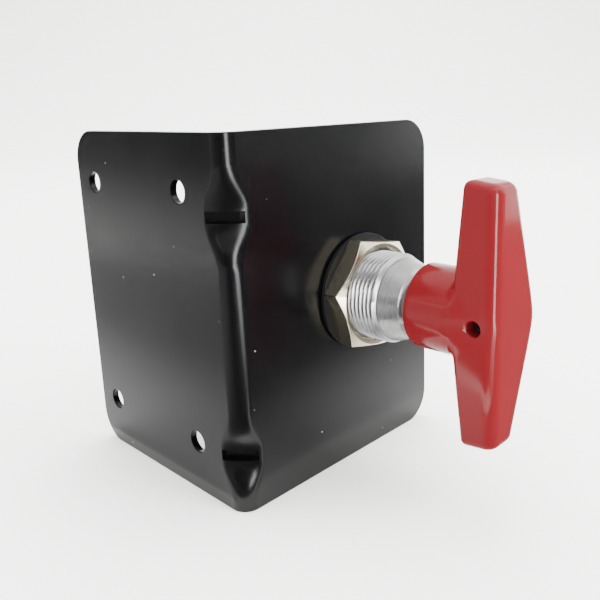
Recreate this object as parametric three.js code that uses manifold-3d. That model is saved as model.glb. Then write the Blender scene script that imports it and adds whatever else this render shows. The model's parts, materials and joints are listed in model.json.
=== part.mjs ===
// Battery isolator switch with a T handle, on a folded steel bracket.
//
// Millimetres, +Z up. Every piece is first placed in the bracket's corner frame: the two outer
// faces of the folded plate are the planes x = 0 (wall leg, which runs along +Y) and y = 0
// (switch leg, which runs along +X), and the plate stands on z = 0. The exported group then
// shifts the corner frame so that the origin is the centre of the foot of the whole switch.
//
// The switch turns about an axis along Y. Its handle is in front of the switch leg (y < 0) and
// its housing, contacts and terminals are behind it (y > 0), inside the bracket's angle.

import * as THREE from 'three';
import { mergeVertices } from 'three/addons/utils/BufferGeometryUtils.js';
import Module from 'manifold-3d';

const wasm = await Module();
wasm.setup();

// ---------------------------------------------------------------- driving dimensions

const BRACKET = {
  height: 106,
  wallLeg: 76.5,
  switchLeg: 85,
  sheet: 2.2,
  bendRadius: 5,
  cornerRadius: 10,
  holeRadius: 3.3,
  holeY: [20.5, 66.5],
  holeZ: [16, 90],
};
const GUSSET = { heights: [16, 84], slot: 3, reach: 8.2 };

const AXIS = { x: 51, z: 54.5 };      // where the switch axis crosses the switch leg
const GAP = 0.1;                      // between faces that touch on the real switch
const RUNNING = 0.1;                  // radial clearance of a shaft in its hole

const THREAD_RADIUS = 13.5;           // M27 x 1.5
const FRONT = {                       // distances in front of the switch leg's face
  gasket: 0.7, washer: 1.5, nut: 7.9, thread: 15.7, chamfer: 16.5, nose: 22.7,
  collar: 25.4, hubRim: 25.6, barBack: 40.4, barFront: 53.9, barFrontEnd: 50.6, pin: 47.4,
};
const NUT_ACROSS_FLATS = 32;
const NUT_TURN = -9.1 * Math.PI / 180;
const SEAL_RADIUS = 18.1;
const NOSE = { startRadius: 12.7, endRadius: 10.6, collarRadius: 9.7 };

const SPINDLE = { radius: 5, front: -50.5, rear: 16, flat: 3.6 };
const BUSH = { radius: 8, length: 7 };
const HANDLE = {
  halfLength: 36.4, halfWidth: 11.1, halfWidthEnd: 5.1, frontEdge: 3.4, backEdge: 1.2, endEdge: 2.4,
  hubRimRadius: 12.4, hubRootRadius: 12.2, bore: 51,
  endDraft: 0.12,                     // the ends lean outwards towards the back, mm per mm
};
const PIN = { radius: 2, length: 14 };

const FLANGE = { radius: 29, front: 3.8, rear: 8.8 };
const HOUSING = { radius: 30, inner: 23.5, front: 9.1, rear: 41.3 };
const KEY = { width: 5, depth: 3, front: 18 };
const STOP = { inner: 18.5, front: 10, rear: 14.5, halfAngle: 8, centres: [62.5, -62.5] };
const COVER = { front: 42.3, rear: 48.3, ribWidth: 3, ribRear: 62, ribHalfHeight: 20 };
const CASE_SCREW = { radius: 2, pitchRadius: 26.4, headRadius: 3.4, head: 3.2 };

const TRAVEL = 3;                     // how far the cam pushes the contact in a quarter turn
const ROTOR = { radius: 16, front: 10, rear: 14, hubRadius: 8, hubRear: 16.5 };
const RAMP = { inner: 9, outer: 15, leadAngle: 14 };
const CARRIER = { radius: 22.3, front: 19, rear: 24, postRadius: 4, postRear: 36.6 };
const PAD = { width: 3.4, front: 14.45 };
const BRIDGE = { halfLength: 21, halfWidth: 7, front: 31, rear: 35 };

const STUD = { x: 15, radius: 5, headRadius: 7, head: 4, end: 76 };
const TERMINAL_NUT = { acrossFlats: 17, thickness: 8 };
const TERMINAL_WASHER = { radius: 10, thickness: 1.6 };
const LUG_GAP = 3.5;                  // room left for a ring terminal on each stud

const ROUND = 40;                     // sides of a large round piece
const SMALL = 20;                     // sides of a small round piece
const FINE = 12;                      // sides of a screw

// ---------------------------------------------------------------- materials

const finish = (color, roughness, metalness) => ({ color, roughness, metalness });
const FINISH = {
  blackPaint: finish(0x18191a, 0.42, 0.0),
  nickel: finish(0xd6cfc2, 0.25, 1.0),
  turnedAluminium: finish(0xc4c4c2, 0.35, 1.0),
  redPlastic: finish(0xbd262b, 0.18, 0.0),
  blackRubber: finish(0x101010, 0.8, 0.0),
  steel: finish(0x9a9a98, 0.35, 1.0),
  springSteel: finish(0x6f6f70, 0.4, 1.0),
  blackPlastic: finish(0x202124, 0.5, 0.0),
  whitePlastic: finish(0xdedbd2, 0.45, 0.0),
  copper: finish(0xb8734a, 0.35, 1.0),
  brass: finish(0xc8a860, 0.3, 1.0),
};

// ---------------------------------------------------------------- solids and their joins

function signedVolume(geometry) {
  const p = geometry.attributes.position;
  const index = geometry.index;
  const [a, b, c] = [new THREE.Vector3(), new THREE.Vector3(), new THREE.Vector3()];
  let volume = 0;
  for (let i = 0; i < index.count; i += 3) {
    a.fromBufferAttribute(p, index.getX(i));
    b.fromBufferAttribute(p, index.getX(i + 1));
    c.fromBufferAttribute(p, index.getX(i + 2));
    volume += a.dot(b.cross(c)) / 6;
  }
  return volume;
}

// One closed skin with shared corners and its faces pointing out.
function closed(geometry) {
  geometry.deleteAttribute('normal');
  geometry.deleteAttribute('uv');
  const merged = mergeVertices(geometry, 1e-4);
  const keep = [];
  for (let i = 0; i < merged.index.count; i += 3) {
    const [a, b, c] = [0, 1, 2].map((k) => merged.index.getX(i + k));
    if (a !== b && b !== c && c !== a) keep.push(a, b, c);
  }
  merged.setIndex(keep);
  if (signedVolume(merged) < 0) merged.setIndex(keep.reverse());
  return merged;
}

function solid(geometry) {
  const g = closed(geometry);
  return new wasm.Manifold(new wasm.Mesh({
    numProp: 3,
    vertProperties: new Float32Array(g.attributes.position.array),
    triVerts: new Uint32Array(g.index.array),
  }));
}

function skin(manifold) {
  const mesh = manifold.getMesh();
  const geometry = new THREE.BufferGeometry();
  geometry.setAttribute('position', new THREE.BufferAttribute(mesh.vertProperties, 3));
  geometry.setIndex(new THREE.BufferAttribute(mesh.triVerts, 1));
  return geometry;
}

const join = (first, ...rest) => rest.reduce((whole, piece) => whole.add(piece), first);
const cut = (first, ...rest) => rest.reduce((whole, piece) => whole.subtract(piece), first);

// ---------------------------------------------------------------- basic shapes

const ALONG = {                       // where an outline's first, second and drawn-out axes go
  X: new THREE.Matrix4().set(0, 0, 1, 0, 1, 0, 0, 0, 0, 1, 0, 0, 0, 0, 0, 1),
  Y: new THREE.Matrix4().set(1, 0, 0, 0, 0, 0, 1, 0, 0, 1, 0, 0, 0, 0, 0, 1),
  Z: new THREE.Matrix4(),
};

// An outline drawn out along an axis: (y, z) along X, (x, z) along Y, (x, y) along Z.
function prism(axis, outline, from, to, sides = 6) {
  const options = { depth: to - from, bevelEnabled: false, curveSegments: sides };
  const geometry = new THREE.ExtrudeGeometry(outline, options);
  geometry.translate(0, 0, from);
  geometry.applyMatrix4(ALONG[axis]);
  return solid(geometry);
}

const polygon = (points) => new THREE.Shape(points.map(([a, b]) => new THREE.Vector2(a, b)));

function rectangle(a0, b0, a1, b1) {
  return polygon([[a0, b0], [a1, b0], [a1, b1], [a0, b1]]);
}

function regularPolygon(sides, radius, turn, centre = [0, 0]) {
  const corner = (i) => {
    const angle = turn + i * 2 * Math.PI / sides;
    return [centre[0] + radius * Math.cos(angle), centre[1] + radius * Math.sin(angle)];
  };
  return polygon(Array.from({ length: sides }, (_, i) => corner(i)));
}

// A solid of revolution about Y through (x, z), from [radius, y] corners in order.
function turned(profile, sides = ROUND, x = 0, z = 0) {
  const points = profile.map(([r, y]) => new THREE.Vector2(r, y));
  points.push(points[0].clone());
  const geometry = new THREE.LatheGeometry(points, sides);
  geometry.translate(x, 0, z);
  return solid(geometry);
}

function ring(inner, outer, from, to, sides = ROUND, x = 0, z = 0) {
  return turned([[inner, from], [outer, from], [outer, to], [inner, to]], sides, x, z);
}

function rod(radius, from, to, sides = SMALL, x = 0, z = 0) {
  return turned([[0, from], [radius, from], [radius, to], [0, to]], sides, x, z);
}

// A ring's sector, its rear face at rearAt(angle), between two angles in degrees.
function sector(inner, outer, front, rearAt, fromAngle, toAngle, steps) {
  const rings = Array.from({ length: steps + 1 }, (_, i) => {
    const degrees = fromAngle + (toAngle - fromAngle) * i / steps;
    const angle = THREE.MathUtils.degToRad(degrees);
    const at = (r, y) => new THREE.Vector3(r * Math.cos(angle), y, r * Math.sin(angle));
    const rear = rearAt(degrees);
    return [at(inner, front), at(outer, front), at(outer, rear), at(inner, rear)];
  });
  return loft(rings);
}

// A skin over a row of rings with equal numbers of points, closed by a flat face at each end.
function loft(rings) {
  const count = rings[0].length;
  const centre = (r) => r.reduce((s, p) => s.add(p), new THREE.Vector3()).divideScalar(count);
  const points = [...rings.flat(), centre(rings[0]), centre(rings.at(-1))];
  const index = [];
  for (let k = 0; k < rings.length - 1; k++) {
    for (let i = 0; i < count; i++) {
      const [a, b] = [k * count + i, k * count + (i + 1) % count];
      index.push(a, b, a + count, b, b + count, a + count);
    }
  }
  const last = (rings.length - 1) * count;
  for (let i = 0; i < count; i++) {
    const next = (i + 1) % count;
    index.push(next, i, points.length - 2, last + i, last + next, points.length - 1);
  }
  const geometry = new THREE.BufferGeometry().setFromPoints(points);
  geometry.setIndex(index);
  return solid(geometry);
}

class Helix extends THREE.Curve {
  constructor(radius, from, to, turns) {
    super();
    Object.assign(this, { radius, from, to, turns });
  }

  getPoint(t, target = new THREE.Vector3()) {
    const angle = t * this.turns * 2 * Math.PI;
    const y = this.from + (this.to - this.from) * t;
    return target.set(this.radius * Math.cos(angle), y, this.radius * Math.sin(angle));
  }
}

function coilSpring(radius, wire, from, to, turns) {
  const section = new THREE.Shape().absarc(0, 0, wire, 0, 2 * Math.PI);
  const path = new Helix(radius, from + wire, to - wire, turns);
  const options = { steps: Math.ceil(turns * 14), extrudePath: path, curveSegments: 3 };
  return solid(new THREE.ExtrudeGeometry(section, options));
}

// ---------------------------------------------------------------- bracket

function foldedSheet() {
  const { wallLeg, switchLeg, sheet, bendRadius, height } = BRACKET;
  const outline = new THREE.Shape();
  outline.moveTo(0, wallLeg);
  outline.lineTo(0, bendRadius);
  outline.absarc(bendRadius, bendRadius, bendRadius, Math.PI, 1.5 * Math.PI);
  outline.lineTo(switchLeg, 0);
  outline.lineTo(switchLeg, sheet);
  outline.lineTo(bendRadius, sheet);
  outline.absarc(bendRadius, bendRadius, bendRadius - sheet, 1.5 * Math.PI, Math.PI, true);
  outline.lineTo(sheet, wallLeg);
  return prism('Z', outline, 0, height);
}

// A leg's flat outline, from past the bend to its free edge with two rounded corners.
function legOutline(length) {
  const { height, cornerRadius: r } = BRACKET;
  const outline = new THREE.Shape();
  outline.moveTo(-1, 0);
  outline.lineTo(length - r, 0);
  outline.absarc(length - r, r, r, -Math.PI / 2, 0);
  outline.absarc(length - r, height - r, r, 0, Math.PI / 2);
  outline.lineTo(-1, height);
  return outline;
}

// A pressed corner stiffener: a flat-bottomed slot across the bend, and its rib inside it.
function gussetRib(z) {
  const { slot, reach } = GUSSET;
  const { sheet } = BRACKET;
  const inside = reach + sheet * Math.SQRT2 - 1;
  const half = slot / 2 + sheet;
  return prism('Z', polygon([[1, 1], [inside, 1], [1, inside]]), z - half, z + half);
}

function gussetSlot(z) {
  const { slot, reach } = GUSSET;
  const outline = polygon([[-1, -1], [reach + 1, -1], [-1, reach + 1]]);
  return prism('Z', outline, z - slot / 2, z + slot / 2);
}

function makeBracket() {
  const { wallLeg, switchLeg, holeRadius, holeY, holeZ, bendRadius } = BRACKET;
  const inward = bendRadius + GUSSET.reach;
  const wall = prism('X', legOutline(wallLeg), -1, inward);
  const front = prism('Y', legOutline(switchLeg), -1, inward);
  const ribs = GUSSET.heights.map(gussetRib);
  const slots = GUSSET.heights.map(gussetSlot);
  const blank = join(foldedSheet().intersect(wall.add(front)), ...ribs);
  const wallHoles = holeY.flatMap((y) => holeZ.map((z) => {
    const outline = regularPolygon(SMALL, holeRadius, 0, [y, z]);
    return prism('X', outline, -1, bendRadius);
  }));
  const barrelHole = rod(THREAD_RADIUS + 0.3, -1, bendRadius, ROUND, AXIS.x, AXIS.z);
  return cut(blank, ...slots, ...wallHoles, barrelHole);
}

// ---------------------------------------------------------------- barrel and what clamps it

// A hexagon nut with its corners turned off to a cone at each end that is named.
function hexNut(acrossFlats, bore, from, to, turn, chamferEnds, sides = ROUND, x = 0, z = 0) {
  const corner = acrossFlats / Math.sqrt(3);
  const flat = acrossFlats / 2;
  const rise = (corner - flat) * 0.62;
  const block = prism('Y', regularPolygon(6, corner, turn, [x, z]), from, to);
  const [low, high] = [chamferEnds.includes('front'), chamferEnds.includes('rear')];
  const envelope = turned([
    [bore, from - 1], [low ? flat - 0.4 : corner + 1, from - (low ? 0 : 1)],
    [corner + 1, low ? from + rise : from - 1], [corner + 1, high ? to - rise : to + 1],
    [high ? flat - 0.4 : corner + 1, to + (high ? 0 : 1)], [bore, to + 1],
  ], sides, x, z);
  return block.intersect(envelope);
}

function makeBarrel() {
  const pocket = BUSH.radius + GAP;
  const bore = SPINDLE.radius + 0.6;
  const rearPocket = FLANGE.rear - BUSH.length;
  const frontPocket = -FRONT.nose + BUSH.length;
  const body = turned([
    [pocket, -FRONT.collar], [NOSE.collarRadius, -FRONT.collar],
    [NOSE.collarRadius, -FRONT.nose - 0.9], [NOSE.endRadius, -FRONT.nose],
    [NOSE.startRadius, -FRONT.chamfer],
    [THREAD_RADIUS, -FRONT.thread], [THREAD_RADIUS, FLANGE.front],
    [FLANGE.radius, FLANGE.front], [FLANGE.radius, FLANGE.rear], [pocket, FLANGE.rear],
    [pocket, rearPocket], [bore, rearPocket], [bore, frontPocket], [pocket, frontPocket],
  ]);
  return cut(body, ...caseScrewPlaces().map(([x, z]) => (
    rod(CASE_SCREW.radius + GAP, FLANGE.front + 1, FLANGE.rear + 1, FINE, x, z)
  )));
}

const makeBush = (from) => ring(
  SPINDLE.radius + RUNNING, BUSH.radius, from, from + BUSH.length - GAP, SMALL,
);

function makeSpindle() {
  const { radius, front, rear, flat } = SPINDLE;
  const groove = (y, width, depth) => [
    [radius, y - width / 2], [radius - depth, y - width / 2],
    [radius - depth, y + width / 2], [radius, y + width / 2],
  ];
  const body = turned([
    [0, front], [radius - 0.8, front], [radius, front + 0.8],
    ...groove(-24.1, 1.4, 0.6), ...groove(-8, 2.4, 1.4),
    [radius, rear], [0, rear],
  ], SMALL);
  const key = prism('Y', rectangle(flat, -10, 10, 10), ROTOR.front - 0.2, rear + 1);
  const screwHole = rod(2 + GAP, rear - 12, rear + 1, FINE);
  return cut(body, key, screwHole, pinHole());
}

function pinHole() {
  const outline = regularPolygon(16, PIN.radius + GAP, 0, [-FRONT.pin, 0]);
  return prism('X', outline, -20, 20);
}

function makePin() {
  const at = (radius, sides) => regularPolygon(sides, radius, 0, [-FRONT.pin, 0]);
  const { radius, length } = PIN;
  const body = prism('X', at(radius - 0.05, 16), -length / 2, length / 2);
  const slit = rectangle(-FRONT.pin - 0.3, 0, -FRONT.pin + 0.3, radius + 1);
  return cut(body, prism('X', at(radius * 0.5, 12), -length, length), prism('X', slit, -length, length));
}

function makeORing() {
  const [centre, section] = [4.65, 0.85];
  const count = 8;
  const points = Array.from({ length: count }, (_, i) => {
    const angle = i * 2 * Math.PI / count;
    return [centre + section * Math.cos(angle), -8 + section * Math.sin(angle)];
  });
  return turned(points, SMALL);
}

function makeCirclip() {
  const clip = ring(SPINDLE.radius - 0.5, 7.4, -24.6, -23.6, SMALL);
  const mouth = prism('Y', polygon([[0, 0], [2.6, -9], [-2.6, -9]]), -26, -23);
  return cut(clip, mouth);
}

// ---------------------------------------------------------------- T handle

// The bar's outline at height z: a rectangle with two large front corners and two small back
// ones, leaning outwards towards the back.
function barSection(halfWidth, front, back, z) {
  const { frontEdge, backEdge, halfLength, endDraft } = HANDLE;
  const lean = endDraft * z / halfLength;
  const perCorner = 4;
  const corners = [
    [halfWidth - backEdge, back - backEdge, backEdge],
    [-halfWidth + backEdge, back - backEdge, backEdge],
    [-halfWidth + frontEdge, front + frontEdge, frontEdge],
    [halfWidth - frontEdge, front + frontEdge, frontEdge],
  ];
  return corners.flatMap(([x, y, r], quarter) => Array.from({ length: perCorner }, (_, i) => {
    const angle = (quarter + i / (perCorner - 1)) * Math.PI / 2;
    const depth = y + r * Math.sin(angle);
    return new THREE.Vector3(x + r * Math.cos(angle), depth, z + lean * (depth + FRONT.barFrontEnd));
  }));
}

function handleBar() {
  const { halfLength, halfWidth, halfWidthEnd, endEdge } = HANDLE;
  const { barBack, barFront, barFrontEnd } = FRONT;
  const end = halfLength - endEdge;
  const inset = (angle) => endEdge * (1 - Math.cos(angle)) * 0.6;
  const stations = [0, 0.5, 1].map((t) => [t * end, 0]);
  for (const angle of [35, 65, 90].map(THREE.MathUtils.degToRad)) {
    stations.push([end + endEdge * Math.sin(angle), inset(angle)]);
  }
  const both = [...stations.slice(1).reverse().map(([z, s]) => [-z, s]), ...stations];
  return loft(both.map(([z, shrink]) => {
    const t = Math.min(Math.abs(z) / halfLength, 1);
    const mix = (middle, tip) => middle + (tip - middle) * t;
    const width = mix(halfWidth, halfWidthEnd) - shrink;
    return barSection(width, -mix(barFront, barFrontEnd) + shrink, -barBack - shrink, z);
  }));
}

function makeHandle() {
  const { hubRimRadius, hubRootRadius, bore } = HANDLE;
  const hub = turned([
    [0, -FRONT.hubRim], [hubRimRadius - 1, -FRONT.hubRim],
    [hubRimRadius, -FRONT.hubRim - 1], [hubRootRadius, -FRONT.barBack - 3],
    [0, -FRONT.barBack - 3],
  ], 32);
  const shaftHole = rod(SPINDLE.radius + RUNNING, -bore, -FRONT.hubRim + 1, SMALL);
  return cut(join(handleBar(), hub), shaftHole, pinHole());
}

// ---------------------------------------------------------------- housing and cover

function caseScrewPlaces() {
  return [45, 135, 225, 315].map((degrees) => {
    const angle = THREE.MathUtils.degToRad(degrees);
    const r = CASE_SCREW.pitchRadius;
    return [r * Math.cos(angle), r * Math.sin(angle)];
  });
}

const caseScrewHoles = (from, to) => caseScrewPlaces().map(([x, z]) => (
  rod(CASE_SCREW.radius + 0.2, from, to, FINE, x, z)
));

function makeHousing() {
  const { radius, inner, front, rear } = HOUSING;
  const shell = ring(inner, radius, front, rear);
  const tall = inner - KEY.depth;
  const keys = [1, -1].map((side) => {
    const [low, high] = [side * tall, side * (inner + 1)].sort((a, b) => a - b);
    return prism('Y', rectangle(-KEY.width / 2, low, KEY.width / 2, high), KEY.front, rear);
  });
  const stops = STOP.centres.map((centre) => sector(
    STOP.inner, inner + 1, STOP.front, () => STOP.rear,
    centre - STOP.halfAngle, centre + STOP.halfAngle, 3,
  ));
  return cut(join(shell, ...keys, ...stops), ...caseScrewHoles(front - 1, rear + 1));
}

function makeCoverGasket() {
  const [from, to] = [HOUSING.rear + GAP, COVER.front - GAP];
  return cut(ring(HOUSING.inner, HOUSING.radius - 0.2, from, to), ...caseScrewHoles(from - 1, to + 1));
}

function makeRearCover() {
  const { front, rear, ribWidth, ribRear, ribHalfHeight } = COVER;
  const disc = turned([
    [0, front], [HOUSING.radius, front], [HOUSING.radius, rear - 1],
    [HOUSING.radius - 1, rear], [0, rear],
  ]);
  const outline = rectangle(-ribWidth / 2, -ribHalfHeight, ribWidth / 2, ribHalfHeight);
  const rib = prism('Y', outline, front + 1, ribRear);
  const studHoles = [-STUD.x, STUD.x].map((x) => (
    rod(STUD.radius + GAP, front - 1, rear + 1, SMALL, x)
  ));
  return cut(join(disc, rib), ...studHoles, ...caseScrewHoles(front - 1, rear + 1));
}

function makeCaseScrew([x, z]) {
  const { radius, headRadius, head } = CASE_SCREW;
  const seat = COVER.rear + GAP;
  const body = turned([
    [0, FLANGE.front + 1.6], [radius, FLANGE.front + 1.6], [radius, seat],
    [headRadius, seat], [headRadius, seat + head - 0.5], [headRadius - 0.5, seat + head],
    [0, seat + head],
  ], FINE, x, z);
  const socket = regularPolygon(6, 1.7, 0, [x, z]);
  return cut(body, prism('Y', socket, seat + head - 2, seat + head + 1));
}

// ---------------------------------------------------------------- cam and moving contact

// Two ramps that rise by TRAVEL over a quarter turn, starting under the carrier's two pads.
function makeCamRotor() {
  const { radius, front, rear, hubRadius, hubRear } = ROTOR;
  const disc = rod(radius, front, rear, ROUND);
  const hub = rod(hubRadius, rear - 1, hubRear, SMALL);
  const height = (degrees) => TRAVEL * THREE.MathUtils.clamp(degrees / 90, 0, 1);
  const ramps = [90, 270].map((start) => sector(
    RAMP.inner, RAMP.outer, rear - 1, (degrees) => rear + 0.01 + height(degrees - start),
    start, start + 90 + RAMP.leadAngle, 14,
  ));
  const lug = sector(radius - 1, 21, front, () => rear, 45 - 8, 45 + 8, 3);
  const round = rod(SPINDLE.radius + GAP, front - 1, hubRear + 1, SMALL);
  const key = prism('Y', rectangle(SPINDLE.flat + GAP, -10, 10, 10), front - 2, hubRear + 2);
  return cut(join(disc, hub, ...ramps, lug), cut(round, key));
}

function makeRotorScrew() {
  const seat = ROTOR.hubRear + 1.2;
  return turned([
    [0, 5], [2, 5], [2, seat], [4.2, seat], [4.2, seat + 1.8], [3.2, seat + 2.6],
    [0, seat + 2.6],
  ], FINE);
}

function makeCarrier() {
  const { radius, front, rear, postRadius, postRear } = CARRIER;
  const disc = turned([[0, front], [radius, front], [radius, rear], [0, rear]]);
  const post = rod(postRadius, rear - 1, postRear, SMALL);
  const headRoom = rod(8, front - 1, front + 2.8, SMALL);
  const notchDepth = HOUSING.inner - KEY.depth - 0.5;
  const notches = [1, -1].map((side) => {
    const [low, high] = [side * notchDepth, side * (radius + 1)].sort((a, b) => a - b);
    const outline = rectangle(-KEY.width / 2 - 0.4, low, KEY.width / 2 + 0.4, high);
    return prism('Y', outline, front - 1, rear + 1);
  });
  const pads = [1, -1].map((side) => {
    const [low, high] = [side * RAMP.inner, side * RAMP.outer].sort((a, b) => a - b);
    const outline = rectangle(-PAD.width / 2, low, PAD.width / 2, high);
    return prism('Y', outline, PAD.front, front + 1);
  });
  return join(cut(join(disc, post), headRoom, ...notches), ...pads);
}

function makeBridge() {
  const { halfLength, halfWidth, front, rear } = BRIDGE;
  const outline = rectangle(-halfLength, -halfWidth, halfLength, halfWidth);
  const faces = [-STUD.x, STUD.x].map((x) => rod(5.5, rear - 1, rear + 0.01, SMALL, x));
  const hole = rod(CARRIER.postRadius + 0.3, front - 1, rear + 1, SMALL);
  return cut(join(prism('Y', outline, front, rear), ...faces), hole);
}

// ---------------------------------------------------------------- terminals

function makeStud(x) {
  const { radius, headRadius, head, end } = STUD;
  const seat = COVER.front - GAP;
  return turned([
    [0, seat - head], [headRadius - 0.6, seat - head], [headRadius, seat - head + 0.6],
    [headRadius, seat], [radius, seat], [radius, end - 1], [radius - 1, end], [0, end],
  ], SMALL, x);
}

function makeSpringWasher(x, from, to) {
  const washer = ring(STUD.radius + GAP, 8.4, from, to, SMALL, x);
  const slit = polygon([[x + 3, -0.6], [x + 10, 0.4], [x + 10, 1.4], [x + 3, 0.4]]);
  return cut(washer, prism('Y', slit, from - 1, to + 1));
}

// A terminal's pieces from the cover outwards, each with its thickness.
const TERMINAL_STACK = [
  ['stud_washer', TERMINAL_WASHER.thickness],
  ['inner_nut', TERMINAL_NUT.thickness],
  ['lug_washer', TERMINAL_WASHER.thickness],
  ['spring_washer', 2.2],
  ['outer_nut', TERMINAL_NUT.thickness],
];

function terminalPieces(side, x) {
  const pieces = [[`stud_${side}`, makeStud(x), 'brass']];
  let seat = COVER.rear + GAP;
  for (const [name, thickness] of TERMINAL_STACK) {
    const end = seat + thickness;
    const bore = STUD.radius + GAP;
    let piece = ring(bore, TERMINAL_WASHER.radius, seat, end, SMALL, x);
    if (name === 'spring_washer') piece = makeSpringWasher(x, seat, end);
    if (name.endsWith('nut')) {
      const across = TERMINAL_NUT.acrossFlats;
      piece = hexNut(across, bore, seat, end, Math.PI / 6, ['front', 'rear'], SMALL, x);
    }
    pieces.push([`${name}_${side}`, piece, name.endsWith('nut') ? 'brass' : 'steel']);
    seat = end + (name === 'inner_nut' ? LUG_GAP : GAP);
  }
  return pieces;
}

// ---------------------------------------------------------------- the whole switch

function switchPieces() {
  const { gasket, washer, nut } = FRONT;
  const bore = THREAD_RADIUS + GAP;
  return [
    ['front_gasket', ring(bore, SEAL_RADIUS, -gasket, -GAP), 'blackRubber'],
    ['nut_washer', ring(bore, SEAL_RADIUS, -washer, -gasket - GAP), 'blackPlastic'],
    ['panel_nut', hexNut(NUT_ACROSS_FLATS, bore, -nut, -washer - GAP, NUT_TURN, ['front']), 'nickel'],
    ['rear_gasket', ring(bore, FLANGE.radius, BRACKET.sheet + GAP, FLANGE.front - GAP), 'blackRubber'],
    ['barrel', makeBarrel(), 'turnedAluminium'],
    ['front_bush', makeBush(-FRONT.nose), 'brass'],
    ['rear_bush', makeBush(FLANGE.rear - BUSH.length + GAP), 'brass'],
    ['spindle', makeSpindle(), 'steel'],
    ['spindle_o_ring', makeORing(), 'blackRubber'],
    ['spindle_circlip', makeCirclip(), 'springSteel'],
    ['t_handle', makeHandle(), 'redPlastic'],
    ['handle_pin', makePin(), 'springSteel'],
    ['thrust_washer', ring(SPINDLE.radius + 0.2, 12, FLANGE.rear + GAP, 9.8, SMALL), 'steel'],
    ['housing', makeHousing(), 'blackPlastic'],
    ['cover_gasket', makeCoverGasket(), 'blackRubber'],
    ['rear_cover', makeRearCover(), 'blackPlastic'],
    ['cam_rotor', makeCamRotor(), 'whitePlastic'],
    ['rotor_washer', ring(2.2, 6.5, ROTOR.hubRear + GAP, ROTOR.hubRear + 1.1, SMALL), 'steel'],
    ['rotor_screw', makeRotorScrew(), 'steel'],
    ['contact_carrier', makeCarrier(), 'whitePlastic'],
    ['contact_spring', coilSpring(8, 0.7, CARRIER.rear + GAP, BRIDGE.front - GAP, 3), 'springSteel'],
    ['contact_bridge', makeBridge(), 'copper'],
    ['bridge_clip', ring(4.1, 6.4, BRIDGE.rear + GAP, BRIDGE.rear + 1.1, SMALL), 'springSteel'],
    ['return_spring', coilSpring(5.4, 0.45, BRIDGE.rear + 1.2, COVER.front - GAP, 3), 'springSteel'],
    ...caseScrewPlaces().map((at, i) => [`case_screw_${i + 1}`, makeCaseScrew(at), 'steel']),
    ...terminalPieces('left', -STUD.x),
    ...terminalPieces('right', STUD.x),
  ];
}

function piece(name, shape, finishName) {
  const mesh = new THREE.Mesh(skin(shape), new THREE.MeshStandardMaterial(FINISH[finishName]));
  mesh.name = name;
  return mesh;
}

const switchGroup = new THREE.Group();
switchGroup.position.set(AXIS.x, 0, AXIS.z);
for (const [name, shape, look] of switchPieces()) switchGroup.add(piece(name, shape, look));

const footCentreY = (BRACKET.wallLeg - FRONT.barFront) / 2;
const group = new THREE.Group();
group.position.set(-BRACKET.switchLeg / 2, -footCentreY, 0);
group.add(piece('bracket', makeBracket(), 'blackPaint'), switchGroup);

export default group;
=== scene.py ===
# The looks of a battery isolator switch on a folded bracket, built around its CAD frame.
#
# Shapes are drawn in millimetres in the bracket's corner frame: x = 0 and y = 0 are the outer
# faces of the wall leg and the switch leg, z = 0 is the edge it stands on. Pieces on the switch
# axis are drawn about it: y along the axis, x and z across it. build() takes both to metres.

import json
import math

import bmesh
import bpy
import numpy as np
from mathutils import Matrix, Vector


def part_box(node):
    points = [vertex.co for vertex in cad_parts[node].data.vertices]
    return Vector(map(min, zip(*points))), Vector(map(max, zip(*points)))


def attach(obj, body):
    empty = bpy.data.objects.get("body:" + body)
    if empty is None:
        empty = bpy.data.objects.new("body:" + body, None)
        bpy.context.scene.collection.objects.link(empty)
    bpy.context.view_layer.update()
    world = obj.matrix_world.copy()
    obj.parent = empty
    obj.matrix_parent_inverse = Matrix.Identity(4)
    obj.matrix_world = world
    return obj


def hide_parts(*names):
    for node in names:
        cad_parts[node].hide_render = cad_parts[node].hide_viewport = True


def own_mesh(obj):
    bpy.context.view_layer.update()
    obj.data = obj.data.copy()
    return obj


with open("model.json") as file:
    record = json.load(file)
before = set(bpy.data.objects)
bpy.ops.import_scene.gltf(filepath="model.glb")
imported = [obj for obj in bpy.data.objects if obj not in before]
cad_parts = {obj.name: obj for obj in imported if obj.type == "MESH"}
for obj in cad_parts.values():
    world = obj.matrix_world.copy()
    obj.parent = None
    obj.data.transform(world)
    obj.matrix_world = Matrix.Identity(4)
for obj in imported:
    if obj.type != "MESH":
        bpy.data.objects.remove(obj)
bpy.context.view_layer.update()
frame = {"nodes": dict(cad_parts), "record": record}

MM = 0.001
JOINTS = {joint["name"]: joint for joint in frame["record"]["behaviour"]["joints"]}
CORNER = Vector(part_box("bracket")[0])
AXIS = Vector(JOINTS["handle_turn"]["pos_m"])
AXIS_X, AXIS_Z = (AXIS.x - CORNER.x) / MM, (AXIS.z - CORNER.z) / MM
CORNER_FRAME = Matrix.Translation(CORNER) @ Matrix.Scale(MM, 4)
AXIS_FRAME = Matrix.Translation((AXIS.x, CORNER.y, AXIS.z)) @ Matrix.Scale(MM, 4)
MERGE = 1e-7  # points closer than this, in metres, become one
CORE = 0.01  # radius of a turned solid's first ring, nearly on its axis


def node_span(name, axis):
    """Where a CAD node starts and ends along an axis, in millimetres of the corner frame."""
    low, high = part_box(name)
    return (low[axis] - CORNER[axis]) / MM, (high[axis] - CORNER[axis]) / MM


def node_size(name, axis):
    low, high = node_span(name, axis)
    return high - low


# ---------------- mesh helpers

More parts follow.
